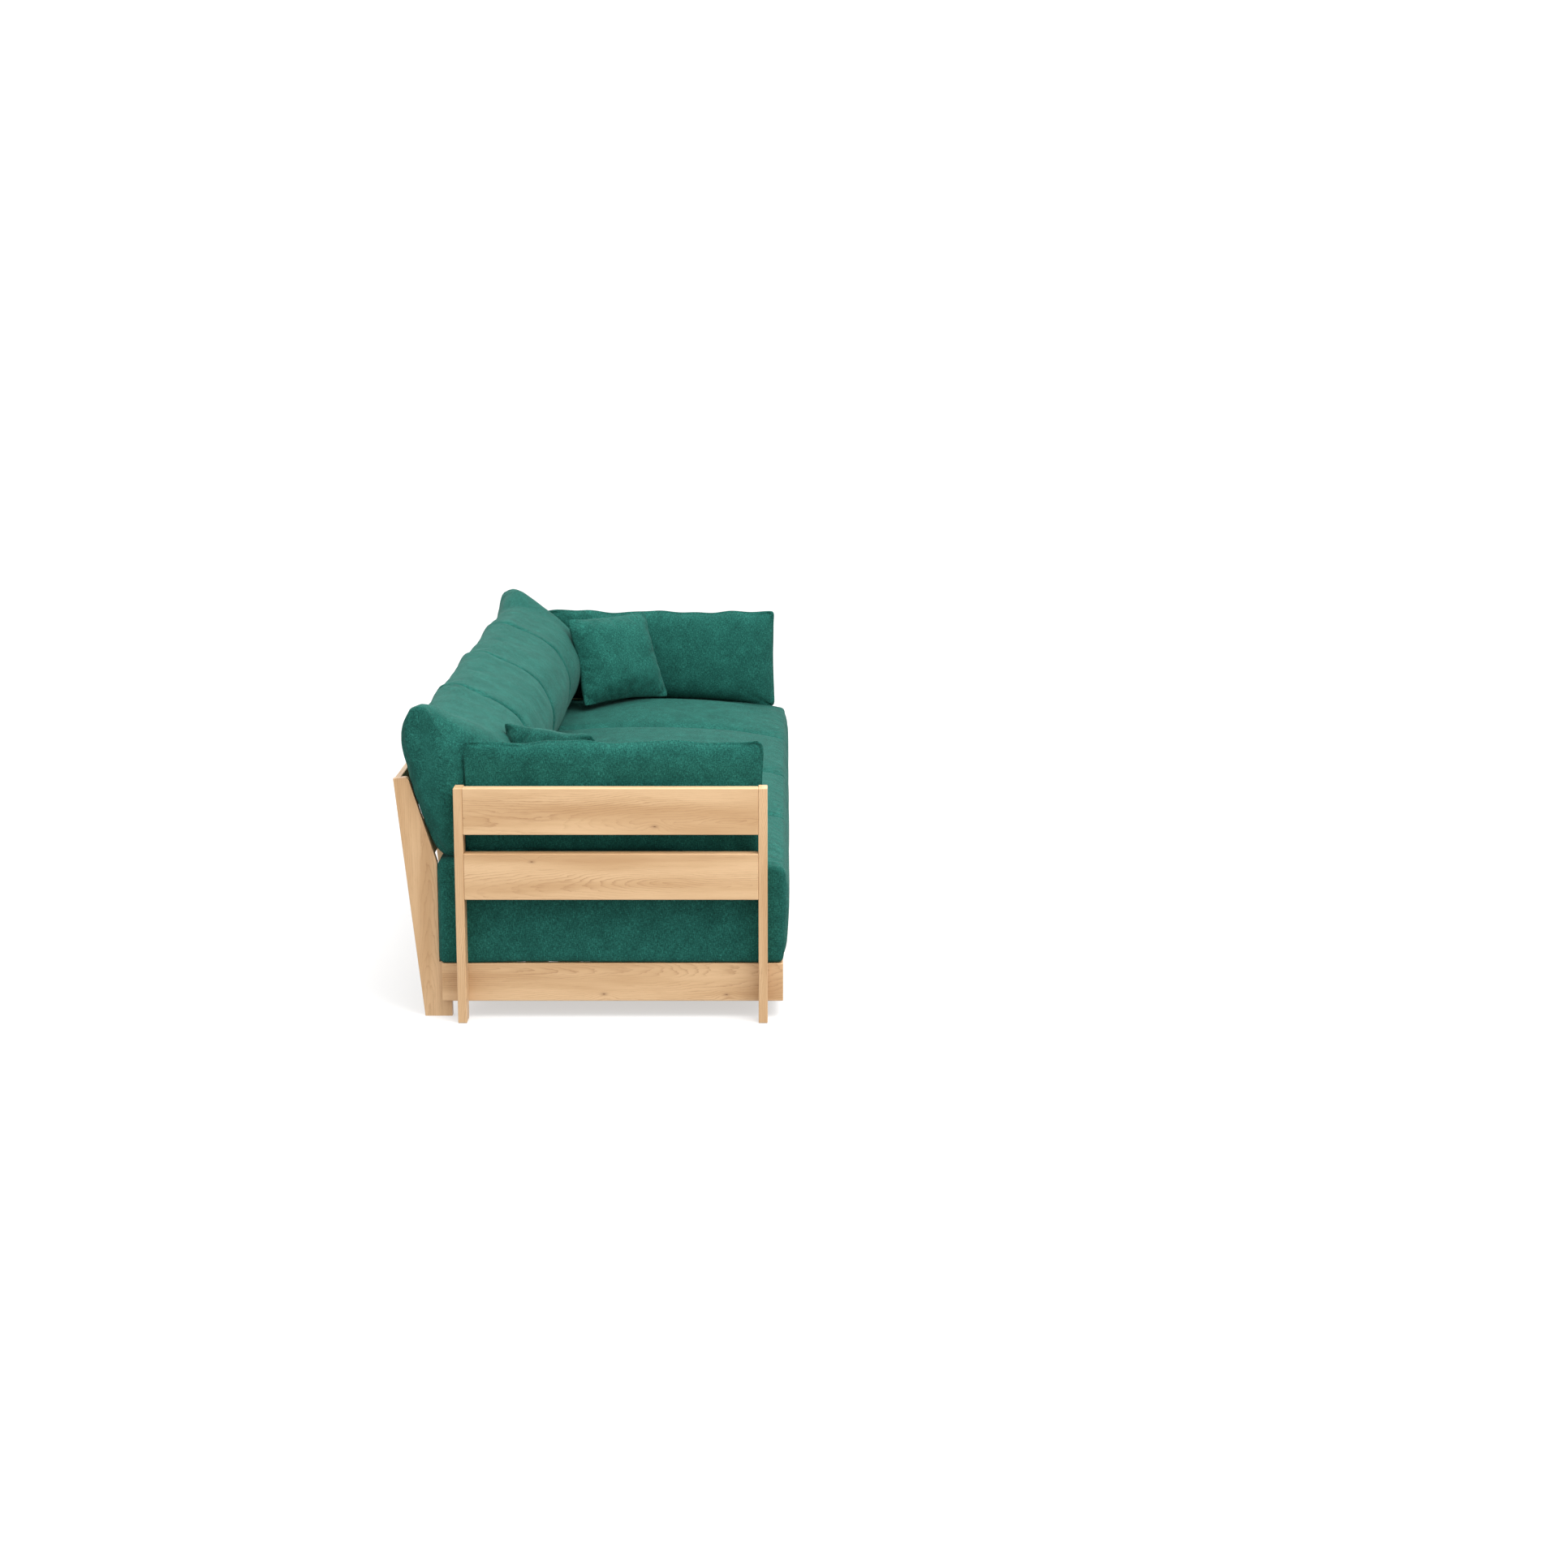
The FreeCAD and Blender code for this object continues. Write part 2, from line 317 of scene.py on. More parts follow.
def boardTurn(size):
    # turns a board's longest side to X and its thinnest to Z
    order = sorted(range(3), key=lambda axis: -size[axis])
    rows = [[float(axis == column) for column in range(3)] for axis in order]
    turn = Matrix(rows)
    if turn.determinant() < 0:
        turn = Matrix([rows[0], rows[1], [-value for value in rows[2]]])
    return turn, [size[axis] for axis in order]


def grainNoise(sheet, wood, grain, pattern, *look):
    return sheet.noise(sheet.stretch(grain, wood["scale"][pattern]), 1.0, *look)


def addKnots(sheet, wood, draw, along, across, size, radius):
    # small knots that push the rings aside: the new radius and the knots' shade
    knotShade = None
    for _ in range(int(draw.integers(0, wood["knots"] + 1))):
        knotAlong = draw.uniform(-wood["knotReach"], wood["knotReach"]) * size[0]
        knotAcross = draw.uniform(-wood["knotReach"], wood["knotReach"]) * size[1]
        knotSize = draw.uniform(*wood["knotSize"])
        toAlong = (along - knotAlong) / 2.2     # a knot is longer than it is wide
        toAcross = across - knotAcross
        distance = (toAlong * toAlong + toAcross * toAcross) ** 0.5
        radius = radius + (1 - sheet.step(distance, 0, knotSize * 10)) * (knotSize * 4)
        halo = (1 - sheet.step(distance, 0, knotSize * 5)) ** 3
        shade = halo * 0.4 + (1 - sheet.step(distance, 0, knotSize)) * 0.5
        knotShade = shade if knotShade is None else knotShade + shade
    return radius, knotShade


def woodMaterial(name, wood, low, high, seed):
    # sawn board: rings of a tree whose heart runs beside the board's longest side
    draw = np.random.default_rng(seed)
    turn, size = boardTurn([high[axis] - low[axis] for axis in range(3)])
    middle = turn @ ((low + high) / 2)

    sheet = ShaderSheet(bpy.data.materials.new(name))
    place = sheet.add("ShaderNodeTexCoord", output=3)
    sockets = {"Vector": place, "Rotation": turn.to_euler(), "Location": -middle}
    board = sheet.add("ShaderNodeMapping", None, sockets)
    shift = Vector(draw.uniform(-20, 20, 3))
    grain = sheet.add("ShaderNodeMapping", None, {"Vector": board, "Location": shift})
    split = sheet.add("ShaderNodeSeparateXYZ", None, {0: board})
    along, across, through = (Wire(sheet, socket) for socket in split.socket.node.outputs)

    sockets = {"Vector": sheet.stretch(grain, wood["scale"]["drift"]), "Scale": 1.0, "Detail": 2.0}
    drift = sheet.add("ShaderNodeTexNoise", None, sockets, output=1)
    driftSplit = sheet.add("ShaderNodeSeparateXYZ", None, {0: drift})
    driftAcross, driftThrough = (Wire(sheet, socket) for socket in driftSplit.socket.node.outputs[:2])
    ripple = grainNoise(sheet, wood, grain, "ripple", 3.0, 0.62)

    heartAcross = draw.uniform(-0.3, 0.3) * size[1]
    heartThrough = draw.uniform(*wood["pithDepth"]) * draw.choice([-1, 1])
    slope = draw.uniform(*wood["taper"]) * draw.choice([-1, 1])
    acrossNow = across - heartAcross + (driftAcross - 0.5) * (2 * wood["waver"])
    throughNow = through - heartThrough + along * slope + (driftThrough - 0.5) * (2 * wood["waver"])
    radius = (acrossNow * acrossNow + throughNow * throughNow) ** 0.5 + ripple * wood["ripple"]
    radius, knotShade = addKnots(sheet, wood, draw, along, across, size, radius)

    turns = radius / wood["ringSpacing"]
    phase = turns.sum("FRACT")
    line = phase ** 4 * (1 - sheet.step(phase, 0.94, 1.0))
    strength = grainNoise(sheet, wood, grain, "strength", 2.0)
    fibre = grainNoise(sheet, wood, grain, "fibre", 2.0, 0.6)
    wisps = sheet.step(grainNoise(sheet, wood, grain, "wisps", 4.0, 0.62, 0.4), 0.55, 0.72)
    pores = sheet.step(grainNoise(sheet, wood, grain, "pores", 1.0), 0.62, 0.74)
    tone = grainNoise(sheet, wood, grain, "tone", 3.0, 0.55)

    base = sheet.blend(sheet.step(tone, 0.32, 0.7), wood["light"], wood["middle"])
    marks = line * sheet.step(strength, 0.3, 0.72) * wood["lineStrength"] + wisps * wood["wisps"]
    marks = marks + (fibre - 0.5) * wood["fibre"] + pores * line * 0.25
    colour = sheet.blend(marks.sum("MAXIMUM", 0.0).sum("MINIMUM", 1.0), base, wood["dark"])
    if knotShade is not None:
        colour = sheet.blend(knotShade.sum("MINIMUM", 0.85), colour, wood["knot"])
    height = fibre * 0.5 - line * 0.5 - pores * 0.6
    return sheet.finish(
        Base_Color=colour,
        Roughness=wood["roughness"] + line * 0.12 - tone * 0.08,
        Normal=sheet.bump(height, *wood["bump"]),
        Specular_IOR_Level=0.35,
    )


zinc = {
    "colour": (0.62, 0.62, 0.63, 1),
    "worn": (0.42, 0.42, 0.44, 1),
    "clouds": 180.0,
    "scratches": (900, 900, 90),
    "bump": (0.15, 0.0002),
    "roughness": 0.36,
}


def zincMaterial():
    sheet = ShaderSheet(bpy.data.materials.new("zincPlate"))
    place = sheet.add("ShaderNodeTexCoord", output=3)
    clouds = sheet.noise(place, zinc["clouds"], 3.0, 0.6)
    scratches = sheet.noise(sheet.stretch(place, zinc["scratches"]), 1.0, 2.0)
    return sheet.finish(
        Base_Color=sheet.blend(sheet.step(clouds, 0.4, 0.7), zinc["colour"], zinc["worn"]),
        Roughness=zinc["roughness"] + clouds * 0.2 - scratches * 0.1,
        Metallic=1.0,
        Normal=sheet.bump(scratches, *zinc["bump"]),
    )


def dressFrame():
    # every hard CAD node keeps its mesh and gets a finish of its own
    firstSeed = 100
    finishes = {item["node"]: item["material_slot"] for item in frame["record"]["subparts"]}
    woods = {"oak": oak, "birch": birch, "feet": darkWood}
    metal = zincMaterial()
    for seed, name in enumerate(sorted(bodies["frame"]), firstSeed):
        finish = finishes[name]
        if finish in woods:
            material = woodMaterial(f"{finish}.{name}", woods[finish], *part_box(name), seed)
        else:
            material = metal
        nodes[name].data.materials.clear()
        nodes[name].data.materials.append(material)


dressFrame()
print("the wooden frame has its grain")


fabric = {
    "light": (0.026, 0.180, 0.142, 1),
    "middle": (0.0075, 0.077, 0.061, 1),
    "dark": (0.002, 0.034, 0.027, 1),
    "stops": (0.39, 0.5, 0.62),     # tones of the dark, middle and light colour
    # marks per metre, and the share of each pattern in the tone
    "scale": {"clouds": 20.0, "speckle": 360.0, "streaks": (420, 95, 1),
              "crossStreaks": (110, 420, 1), "nap": (1400, 700, 1)},
    "share": {"clouds": 0.15, "streaks": 0.34, "crossStreaks": 0.22, "speckle": 0.29},
    "seamWidth": 0.005,
    # share of the dark colour laid along the seams: painted shade, as if the folds there lay in shadow
    "seamPaintedShade": 0.22,
    "bump": (0.5, 0.0012),          # strength and depth
    "roughness": 0.92,
    "sheen": 0.06,
    "sheenRoughness": 0.4,
    "sheenTint": (0.5, 0.9, 0.8, 1),
}


def fabricMaterial():
    # short-pile chenille: cloudy tone, upright streaks and a fine nap
    sheet = ShaderSheet(bpy.data.materials.new("tealChenille"))
    place = sheet.add("ShaderNodeTexCoord", output=3)
    weave = sheet.add("ShaderNodeUVMap", {"uv_map": "panelMap"})
    scale, share = fabric["scale"], fabric["share"]
    clouds = sheet.noise(place, scale["clouds"], 4.0, 0.7)
    streaks = sheet.noise(sheet.stretch(weave, scale["streaks"]), 1.0, 3.0, 0.7)
    crossStreaks = sheet.noise(sheet.stretch(weave, scale["crossStreaks"]), 1.0, 2.0, 0.6)
    speckle = sheet.noise(place, scale["speckle"], 3.0, 0.75)
    nap = sheet.noise(sheet.stretch(weave, scale["nap"]), 1.0, 2.0, 0.6)
    tone = clouds * share["clouds"] + streaks * share["streaks"]
    tone = tone + crossStreaks * share["crossStreaks"] + speckle * share["speckle"]
    stops = list(zip(fabric["stops"], (fabric["dark"], fabric["middle"], fabric["light"])))
    colour = sheet.add("ShaderNodeValToRGB", {"stops": stops}, {"Fac": tone})
    seam = sheet.add("ShaderNodeAttribute", {"attribute_name": "seam"}, output=2)
    # painted shade: the colour is darkened along the seams, standing in for the shade that falls in their
    # folds
    colour = sheet.blend(seam * fabric["seamPaintedShade"], colour, fabric["dark"])
    height = nap * 0.5 + speckle * 0.9 + streaks * 0.5 - seam * 1.2
    return sheet.finish(
        Base_Color=colour,
        Roughness=fabric["roughness"],
        Normal=sheet.bump(height, *fabric["bump"]),
        Specular_IOR_Level=0.15,
        Sheen_Weight=fabric["sheen"],
        Sheen_Roughness=fabric["sheenRoughness"],
        Sheen_Tint=fabric["sheenTint"],
    )


chenille = fabricMaterial()


def crowd(values, pull):
    # moves evenly spaced values from -1 to 1 closer together near both ends
    return (1 - pull) * values + pull * np.sin(values * math.pi / 2)


def gridPanel(corners, axis, end, cells):
    # one flat panel of a box grid, as whole-number places, and its faces
    first, second = (axis + 1) % 3, (axis + 2) % 3
    steps = np.meshgrid(np.arange(cells[first] + 1), np.arange(cells[second] + 1), indexing="ij")
    places = np.zeros(steps[0].shape + (3,), int)
    places[..., axis] = end * cells[axis]
    places[..., first], places[..., second] = steps
    number = corners + np.arange(steps[0].size).reshape(steps[0].shape)
    faces = np.stack([number[:-1, :-1], number[1:, :-1], number[1:, 1:], number[:-1, 1:]], -1)
    faces = faces.reshape(-1, 4)
    return places.reshape(-1, 3), faces if end else faces[:, ::-1]


def boxGrid(cells):
    # quads all over the cube from -1 to 1: its points, faces, and the axis that each face looks along
    places, faces, axes, corners = [], [], [], 0
    for axis in range(3):
        for end in (0, 1):
            panel, panelFaces = gridPanel(corners, axis, end, cells)
            corners += len(panel)
            places.append(panel)
            faces.append(panelFaces)
            axes.append(np.full(len(panelFaces), axis))
    merged, number = np.unique(np.concatenate(places), axis=0, return_inverse=True)
    cube = crowd(merged / np.array(cells) * 2 - 1, 0.55)    # smaller faces near the seams
    return cube, number.reshape(-1)[np.concatenate(faces)], np.concatenate(axes)


def makePiece(name, points, faces, cube, half, axes):
    # cushion mesh with its panels laid out in metres
    mesh = bpy.data.meshes.new(name)
    mesh.from_pydata(points.tolist(), [], faces.tolist())
    flat = (cube * half)[faces]
    sides = np.array([[1, 2], [0, 2], [0, 1]])[axes]
    layout = np.take_along_axis(flat, np.repeat(sides[:, None, :], 4, axis=1), axis=2)
    layer = mesh.uv_layers.new(name="panelMap")
    layer.data.foreach_set("uv", layout.astype(np.float32).ravel())
    mesh.update()
    piece = bpy.data.objects.new(name, mesh)
    bpy.context.scene.collection.objects.link(piece)
    return piece


def setGroup(piece, name, weights):
    group = piece.vertex_groups.new(name=name)
    steps = 20
    levels = np.round(np.clip(weights, 0, 1) * steps).astype(int)
    for level in range(1, steps + 1):
        members = np.flatnonzero(levels == level)
        if len(members):
            group.add(members.tolist(), level / steps, "REPLACE")


sewing = {
    "mass": 0.25,
    "quality": 5,
    "airDamping": 2,
    "slackFrom": (0.001, 0.02),    # distances from the seam over which the spare cloth sets in
    "seamWidth": 0.0012,
    "held": 0.96,                  # how firmly the seams stay in place
}


def swell(piece, cover, seamDistance):
    # cloth simulation: the panels are cut larger than the seams that hold them, and fill under pressure
    before = readPoints(piece)
    setGroup(piece, "seamLine", 1 - smoothStep(*sewing["slackFrom"], seamDistance))
    setGroup(piece, "held", sewing["held"] * (seamDistance < sewing["seamWidth"]))
    makeActive(piece)
    modifier = piece.modifiers.new("cover", "CLOTH")
    cloth = modifier.settings
    cloth.quality = sewing["quality"]
    cloth.mass = sewing["mass"]
    cloth.air_damping = sewing["airDamping"]
    cloth.tension_stiffness = cover["stiffness"]
    cloth.compression_stiffness = cover["stiffness"]
    cloth.shear_stiffness = cover["stiffness"] / 3
    cloth.bending_stiffness = cover["bending"]
    cloth.use_pressure = True
    cloth.uniform_pressure_force = cover["pressure"]
    cloth.effector_weights.gravity = 0
    cloth.vertex_group_mass = "held"
    cloth.pin_stiffness = 1
    cloth.vertex_group_shrink = "seamLine"
    cloth.shrink_min = -cover["spare"]
    cloth.shrink_max = 0
    modifier.collision_settings.use_collision = False
    modifier.point_cache.frame_start = 1
    modifier.point_cache.frame_end = cover["frames"]
    for step in range(1, cover["frames"] + 1):
        bpy.context.scene.frame_set(step)
    bpy.ops.object.modifier_apply(modifier=modifier.name)
    bpy.context.scene.frame_set(1)
    move = readPoints(piece) - before
    reach = np.linalg.norm(move, axis=1, keepdims=True)
    writePoints(piece, before + move * np.minimum(1, cover["most"] / np.maximum(reach, 1e-9)))
    piece.vertex_groups.clear()


def ruffle(piece, seed, length, height):
    # uneven filling: slow waves along the normals, from seeded directions
    draw = np.random.default_rng(seed)
    points = readPoints(piece)
    lift = np.zeros(len(points))
    waves = 14
    for _ in range(waves):
        direction = draw.normal(size=3)
        direction /= np.linalg.norm(direction)
        wave = length * draw.uniform(0.6, 1.8)
        lift += np.sin(points @ direction * (2 * math.pi / wave) + draw.uniform(0, 2 * math.pi))
    writePoints(piece, points + readNormals(piece) * (lift * height / math.sqrt(waves))[:, None])


def finishCushion(piece, body, seamDistance):
    # marks the seams, smooths the cover and ties it to its body
    mark = piece.data.attributes.new("seam", "FLOAT", "POINT")
    nearSeam = 1 - smoothStep(0, fabric["seamWidth"], seamDistance)
    mark.data.foreach_set("value", nearSeam.astype(np.float32))
    applyModifier(piece, "SUBSURF", levels=1, render_levels=1)
    bpy.ops.object.shade_smooth()
    piece.data.materials.append(chenille)
    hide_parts(body)
    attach(piece, body)


def roundBox(cube, half, radius):
    # the cube's surface as a box with rounded edges
    raw = cube * half
    inner = np.clip(raw, radius - half, half - radius)
    out = raw - inner
    return inner + out * (radius / np.maximum(np.linalg.norm(out, axis=1, keepdims=True), 1e-9))


def edgeDistance(cube, half):
    # metres from each point to the nearest edge of the box
    return np.sort((1 - np.abs(cube)) * half, axis=1)[:, 1]


seat = {
    "cells": (58, 82, 28),
    "edgeRound": 0.014,
    "sideGap": 0.0003,         # between the cover and the middle of the join
    "rear": 0.958,
    "bottom": 0.1572,
    "plainTop": 0.44,          # of the plain box that is shaped into the cushion
    "edgeTop": 0.463,          # highest point of the upper seam
    "highestAt": 0.5,
    "aheadLength": 0.51,       # from the highest point to the front and to the rear
    "behindLength": 0.46,
    "frontDrop": 0.036,
    "rearDrop": 0.012,
    "crown": 0.03,
    "crownFront": (-0.02, 0.25),   # depths over which the crown rises and sinks
    "crownRear": (0.5, 0.8),
    "frontBulge": 0.0105,
    "bulgeSpan": (0.55, 0.45),     # shares of the height under and over the fullest line
    "pressedBy": 0.16,         # the arm cushion presses this far in
    "cover": {"pressure": 4, "stiffness": 14, "bending": 0.6, "spare": 0.012, "frames": 16,
              "most": 0.007},
    "waves": (0.22, 0.0012),   # length and height
    "firstSeed": 40,
    "fill": 0.8,
}


def seatTop(x, depth, left, right):
    # height of the seam line and of the crown over it
    ahead = np.clip((seat["highestAt"] - depth) / seat["aheadLength"], 0, None)
    behind = np.clip((depth - seat["highestAt"]) / seat["behindLength"], 0, None)
    seam = seat["edgeTop"] - seat["frontDrop"] * ahead ** 2.3 - seat["rearDrop"] * behind ** 2
    side = np.clip(np.abs(2 * (x - left) / (right - left) - 1), 0, 1)
    crown = seat["crown"] * (1 - side ** 2.6)
    crown = crown * (0.25 + 0.75 * smoothStep(*seat["crownFront"], depth))
    crown = crown * (1 - 0.75 * smoothStep(*seat["crownRear"], depth))
    fromArm = armFace - np.abs(x)
    crown = crown * (0.1 + 0.9 * smoothStep(0.7 * seat["pressedBy"], 1.5 * seat["pressedBy"], fromArm))
    return seam + crown


def makeSeatCushion(number):
    name = f"seat_cushion_{number}"
    middle = middleOf(name)
    left, right = middle - modulePitch / 2, middle + modulePitch / 2
    halfX = modulePitch / 2 - seat["sideGap"]
    halfY = seat["rear"] / 2
    halfZ = (seat["plainTop"] - seat["bottom"]) / 2
    half = np.array([halfX, halfY, halfZ])
    cube, faces, axes = boxGrid(seat["cells"])
    points = roundBox(cube, half, seat["edgeRound"])
    depth = points[:, 1] + halfY
    rise = (points[:, 2] + halfZ) / (2 * halfZ)
    x = points[:, 0] + middle
    z = seat["bottom"] + 2 * halfZ * rise + (seatTop(x, depth, left, right) - seat["plainTop"]) * rise
    under, over = seat["bulgeSpan"]
    bulge = np.where(rise < under, 1 - ((under - rise) / under) ** 2, 1 - 0.4 * ((rise - under) / over) ** 2)
    frontness = 1 - smoothStep(0, 0.12, depth)
    across = np.abs(cube[:, 0])
    depth = depth - seat["frontBulge"] * bulge * frontness * (1 - 0.25 * across ** 4)
    points = np.stack([x, platformFront + depth, z], axis=1)
    piece = makePiece(f"{name}.cover", points, faces, cube, half, axes)
    seamDistance = edgeDistance(cube, half)
    swell(piece, seat["cover"], seamDistance)
    ruffle(piece, seat["firstSeed"] + number, *seat["waves"])
    points = readPoints(piece)
    points[:, 0] = np.clip(points[:, 0], left + seat["sideGap"], right - seat["sideGap"])
    points[:, 1] = np.minimum(points[:, 1], platformFront + seat["rear"] + 0.002)
    points[:, 2] = np.maximum(points[:, 2], seat["bottom"])
    writePoints(piece, points)
    finishCushion(piece, name, seamDistance)


for number in range(1, 5):
    makeSeatCushion(number)
print("seat cushions are filled")


back = {
    "cells": (58, 22, 30),
    # side outline as depth and height, from the lower front corner up the front and round
    "outline": [
        (0.800, 0.4705), (0.778, 0.505), (0.763, 0.550), (0.754, 0.600), (0.753, 0.650), (0.770, 0.695),
        (0.800, 0.743), (0.840, 0.785), (0.888, 0.820), (0.938, 0.852), (0.984, 0.880), (1.026, 0.868),
        (1.045, 0.825), (1.045, 0.775), (1.034, 0.715), (1.019, 0.655), (1.001, 0.595), (0.981, 0.540),
        (0.953, 0.490), (0.925, 0.4705), (0.862, 0.4695),
    ],
    "middle": (0.905, 0.665),
    "panel": (0.13, 0.2),      # half the depth and height of the cloth panels
    "foot": 0.4695,
    "overSeat": 0.0005,
    "crestFrom": 0.74,         # above this height the crest sinks between the ears
    "crestMiddle": 0.70,
    "crestJoin": 0.715,
    "earUp": (0.004, -0.004),  # left and right end
    "earBack": (0.0, 0.016),
    "crestRound": 0.014,
    "footRound": 0.005,
    "joinSag": 0.010,          # how far the foot sinks into the groove between two seats
    "frontRound": 0.036,
    "freeRound": 0.050,
    "rearRound": 0.026,
    "earRound": 0.014,
    # heights and depths over which one rounding passes into the next
    "footHeight": (0.472, 0.53),
    "frontHeight": (0.50, 0.60),
    "crestHeight": (0.74, 0.83),
    "earHeight": (0.80, 0.87),
    "rearHeight": (0.48, 0.62),
    "frontDepth": (0.80, 0.90),
    "rearDepth": (0.82, 0.96),
    "endBulge": 0.010,
    # the front of a free end rolls back to a seam at the rear: over this length, by this share,
    # towards a line of this depth and slope, and how much of it reaches the left and right ear
    "roll": {"length": 0.20, "share": 0.86, "depth": 0.925, "slope": 0.30,
             "rearmost": 0.985, "ear": (1.0, 0.3), "earHeight": (0.78, 0.87)},
    "sideGap": 0.0003,
    "frontCrown": 0.012,
    "cover": {"pressure": 4, "stiffness": 12, "bending": 0.4, "spare": 0.022, "frames": 20,
              "most": 0.008},
    "waves": (0.20, 0.0022),
    "firstSeed": 60,
    "fill": 0.75,
}


def closedCurve(corners, share):
    # points at these shares of the way round a smooth closed curve
    corners = np.array(corners)
    steps = np.linalg.norm(np.roll(corners, -1, axis=0) - corners, axis=1)
    starts = np.concatenate([[0], np.cumsum(steps)])
    place = (share % 1) * starts[-1]
    index = np.clip(np.searchsorted(starts, place, side="right") - 1, 0, len(corners) - 1)
    t = ((place - starts[index]) / steps[index])[:, None]
    before, here, there, after = (corners[(index + step) % len(corners)] for step in (-1, 0, 1, 2))
    return 0.5 * (2 * here + (there - before) * t + (2 * before - 5 * here + 4 * there - after) * t ** 2
                  + (3 * here - before - 3 * there + after) * t ** 3)


def squareShare(v, w, cellsV, cellsW):
    # how far round the square a point lies, from its lower front corner, and how far out
    reach = np.maximum(np.maximum(np.abs(v), np.abs(w)), 1e-6)
    v, w = v / reach, w / reach
    upV, upW = (v + 1) / 2 * cellsV, (w + 1) / 2 * cellsW
    onFront, onTop, onRear = v < -0.9999, w > 0.9999, v > 0.9999
    way = np.select([onFront, onTop, onRear], [upW, cellsW + upV, 2 * cellsW + cellsV - upW],
                    2 * cellsW + 2 * cellsV - upV)
    return way / (2 * cellsW + 2 * cellsV), reach


def endTurn(outline, free):
    # how round the ends are: tight along the crest, where the cushions press together, and wide in front
    depth, height = outline.T
    inFront = smoothStep(*back["frontHeight"], height) * (1 - smoothStep(*back["crestHeight"], height))
    inFront = inFront * (1 - smoothStep(*back["frontDepth"], depth))
    turn = back["crestRound"] + (back["frontRound"] - back["crestRound"]) * inFront
    turn = back["footRound"] + (turn - back["footRound"]) * smoothStep(*back["footHeight"], height)
    toRear = smoothStep(*back["rearDepth"], depth) * smoothStep(*back["rearHeight"], height)
    freeTurn = back["freeRound"] + (back["rearRound"] - back["freeRound"]) * toRear
    freeTurn = freeTurn + (back["earRound"] - freeTurn) * smoothStep(*back["earHeight"], height)
    return np.where(free, freeTurn, turn)


def sweepOutline(cube, halfX, free):
    # the side outline drawn from end to end: x, depth, height and the distance to the seam
    share, reach = squareShare(cube[:, 1], cube[:, 2], *back["cells"][1:])
    outline = closedCurve(back["outline"], share)
    centre = np.array(back["middle"])
    spoke = outline - centre
    radius = np.linalg.norm(spoke, axis=1)
    turn = endTurn(outline, free)
    rawX, rawOut = cube[:, 0] * halfX, reach * radius
    innerX = np.clip(rawX, turn - halfX, halfX - turn)
    innerOut = np.clip(rawOut, 0, radius - turn)
    outX, outOut = rawX - innerX, rawOut - innerOut
    length = np.maximum(np.hypot(outX, outOut), 1e-9)
    x = innerX + outX * turn / length
    out = innerOut + outOut * turn / length
    onEnd = np.abs(cube[:, 0]) > 0.999
    x = x + np.sign(x) * back["endBulge"] * onEnd * (1 - reach ** 2) * free
    depth, z = (centre + spoke * (out / radius)[:, None]).T
    onSide = reach > 0.999
    seamDistance = np.where(onSide, (1 - np.abs(cube[:, 0])) * halfX, (1 - reach) * radius)
    return x, depth, z, seamDistance


def shapeCrest(depth, z, toJoin, toFreeEnd, hand):
    # the crest sinks between the ears, and the ears are drawn out
    middle, join = back["crestMiddle"], back["crestJoin"]
    crest = middle + (1 - middle) * (1 - smoothStep(0.05, 0.26, toFreeEnd))
    crest = crest + (join - middle) * (1 - smoothStep(0.03, 0.12, toJoin))
    above = np.clip(z - back["crestFrom"], 0, None)
    z = z - above + above * crest
    ear = (1 - smoothStep(0, 0.09, toFreeEnd)) * smoothStep(0.80, 0.88, z)
    return depth + back["earBack"][hand] * ear, z + back["earUp"][hand] * ear


def rollEnd(depth, z, toFreeEnd, hand):
    roll = back["roll"]
    rolled = 1 - np.sqrt(1 - np.clip(1 - toFreeEnd / roll["length"], 0, 1) ** 2)
    rolled = rolled * (1 + (roll["ear"][hand] - 1) * smoothStep(*roll["earHeight"], z))
    rollTo = np.minimum(roll["depth"] + roll["slope"] * (z - seat["edgeTop"]), roll["rearmost"])
    return depth + roll["share"] * rolled * np.clip(rollTo - depth, 0, None)


def makeBackCushion(number):
    name = f"back_cushion_{number}"
    middle = middleOf(name)
    halfX = modulePitch / 2 - back["sideGap"]
    cube, faces, axes = boxGrid(back["cells"])
    side = np.sign(middle) if number in (1, 4) else 0    # the end that no other cushion stands against
    hand = int(side > 0)
    free = (side * cube[:, 0] > 0) if side else np.zeros(len(cube), bool)
    x, depth, z, seamDistance = sweepOutline(cube, halfX, free)

    toFreeEnd = halfX - side * x if side else np.full(len(x), np.inf)
    toJoin = halfX + side * x if side else halfX - np.abs(x)
    depth, z = shapeCrest(depth, z, toJoin, toFreeEnd, hand)
    depth = rollEnd(depth, z, toFreeEnd, hand)
    front = 1 - smoothStep(0.78, 0.92, depth)
    depth = depth - back["frontCrown"] * front * (1 - (x / halfX) ** 2) * smoothStep(0.47, 0.6, z)
    # the foot rests on the seat all over
    seated = seatTop(x + middle, depth, middle - modulePitch / 2, middle + modulePitch / 2)
    seated = seated + back["overSeat"]
    seated = seated - back["joinSag"] * (1 - smoothStep(0, 0.016, toJoin))
    z = z - (1 - smoothStep(back["foot"], 0.54, z)) * (back["foot"] - seated)
    lowest = np.where(z < 0.5, np.minimum(z, seated), 0)
    points = np.stack([x + middle, platformFront + depth, z], axis=1)

    half = np.array([halfX, *back["panel"]])
    piece = makePiece(f"{name}.cover", points, faces, cube, half, axes)
    swell(piece, back["cover"], seamDistance)
    ruffle(piece, back["firstSeed"] + number, *back["waves"])
    points = readPoints(piece)
    points[:, 0] = np.clip(points[:, 0], middle - halfX, middle + halfX)
    points[:, 2] = np.maximum(points[:, 2], lowest)
    if side:
        points = tuckBehindArm(points, side)
    writePoints(piece, points)
    finishCushion(piece, name, seamDistance)


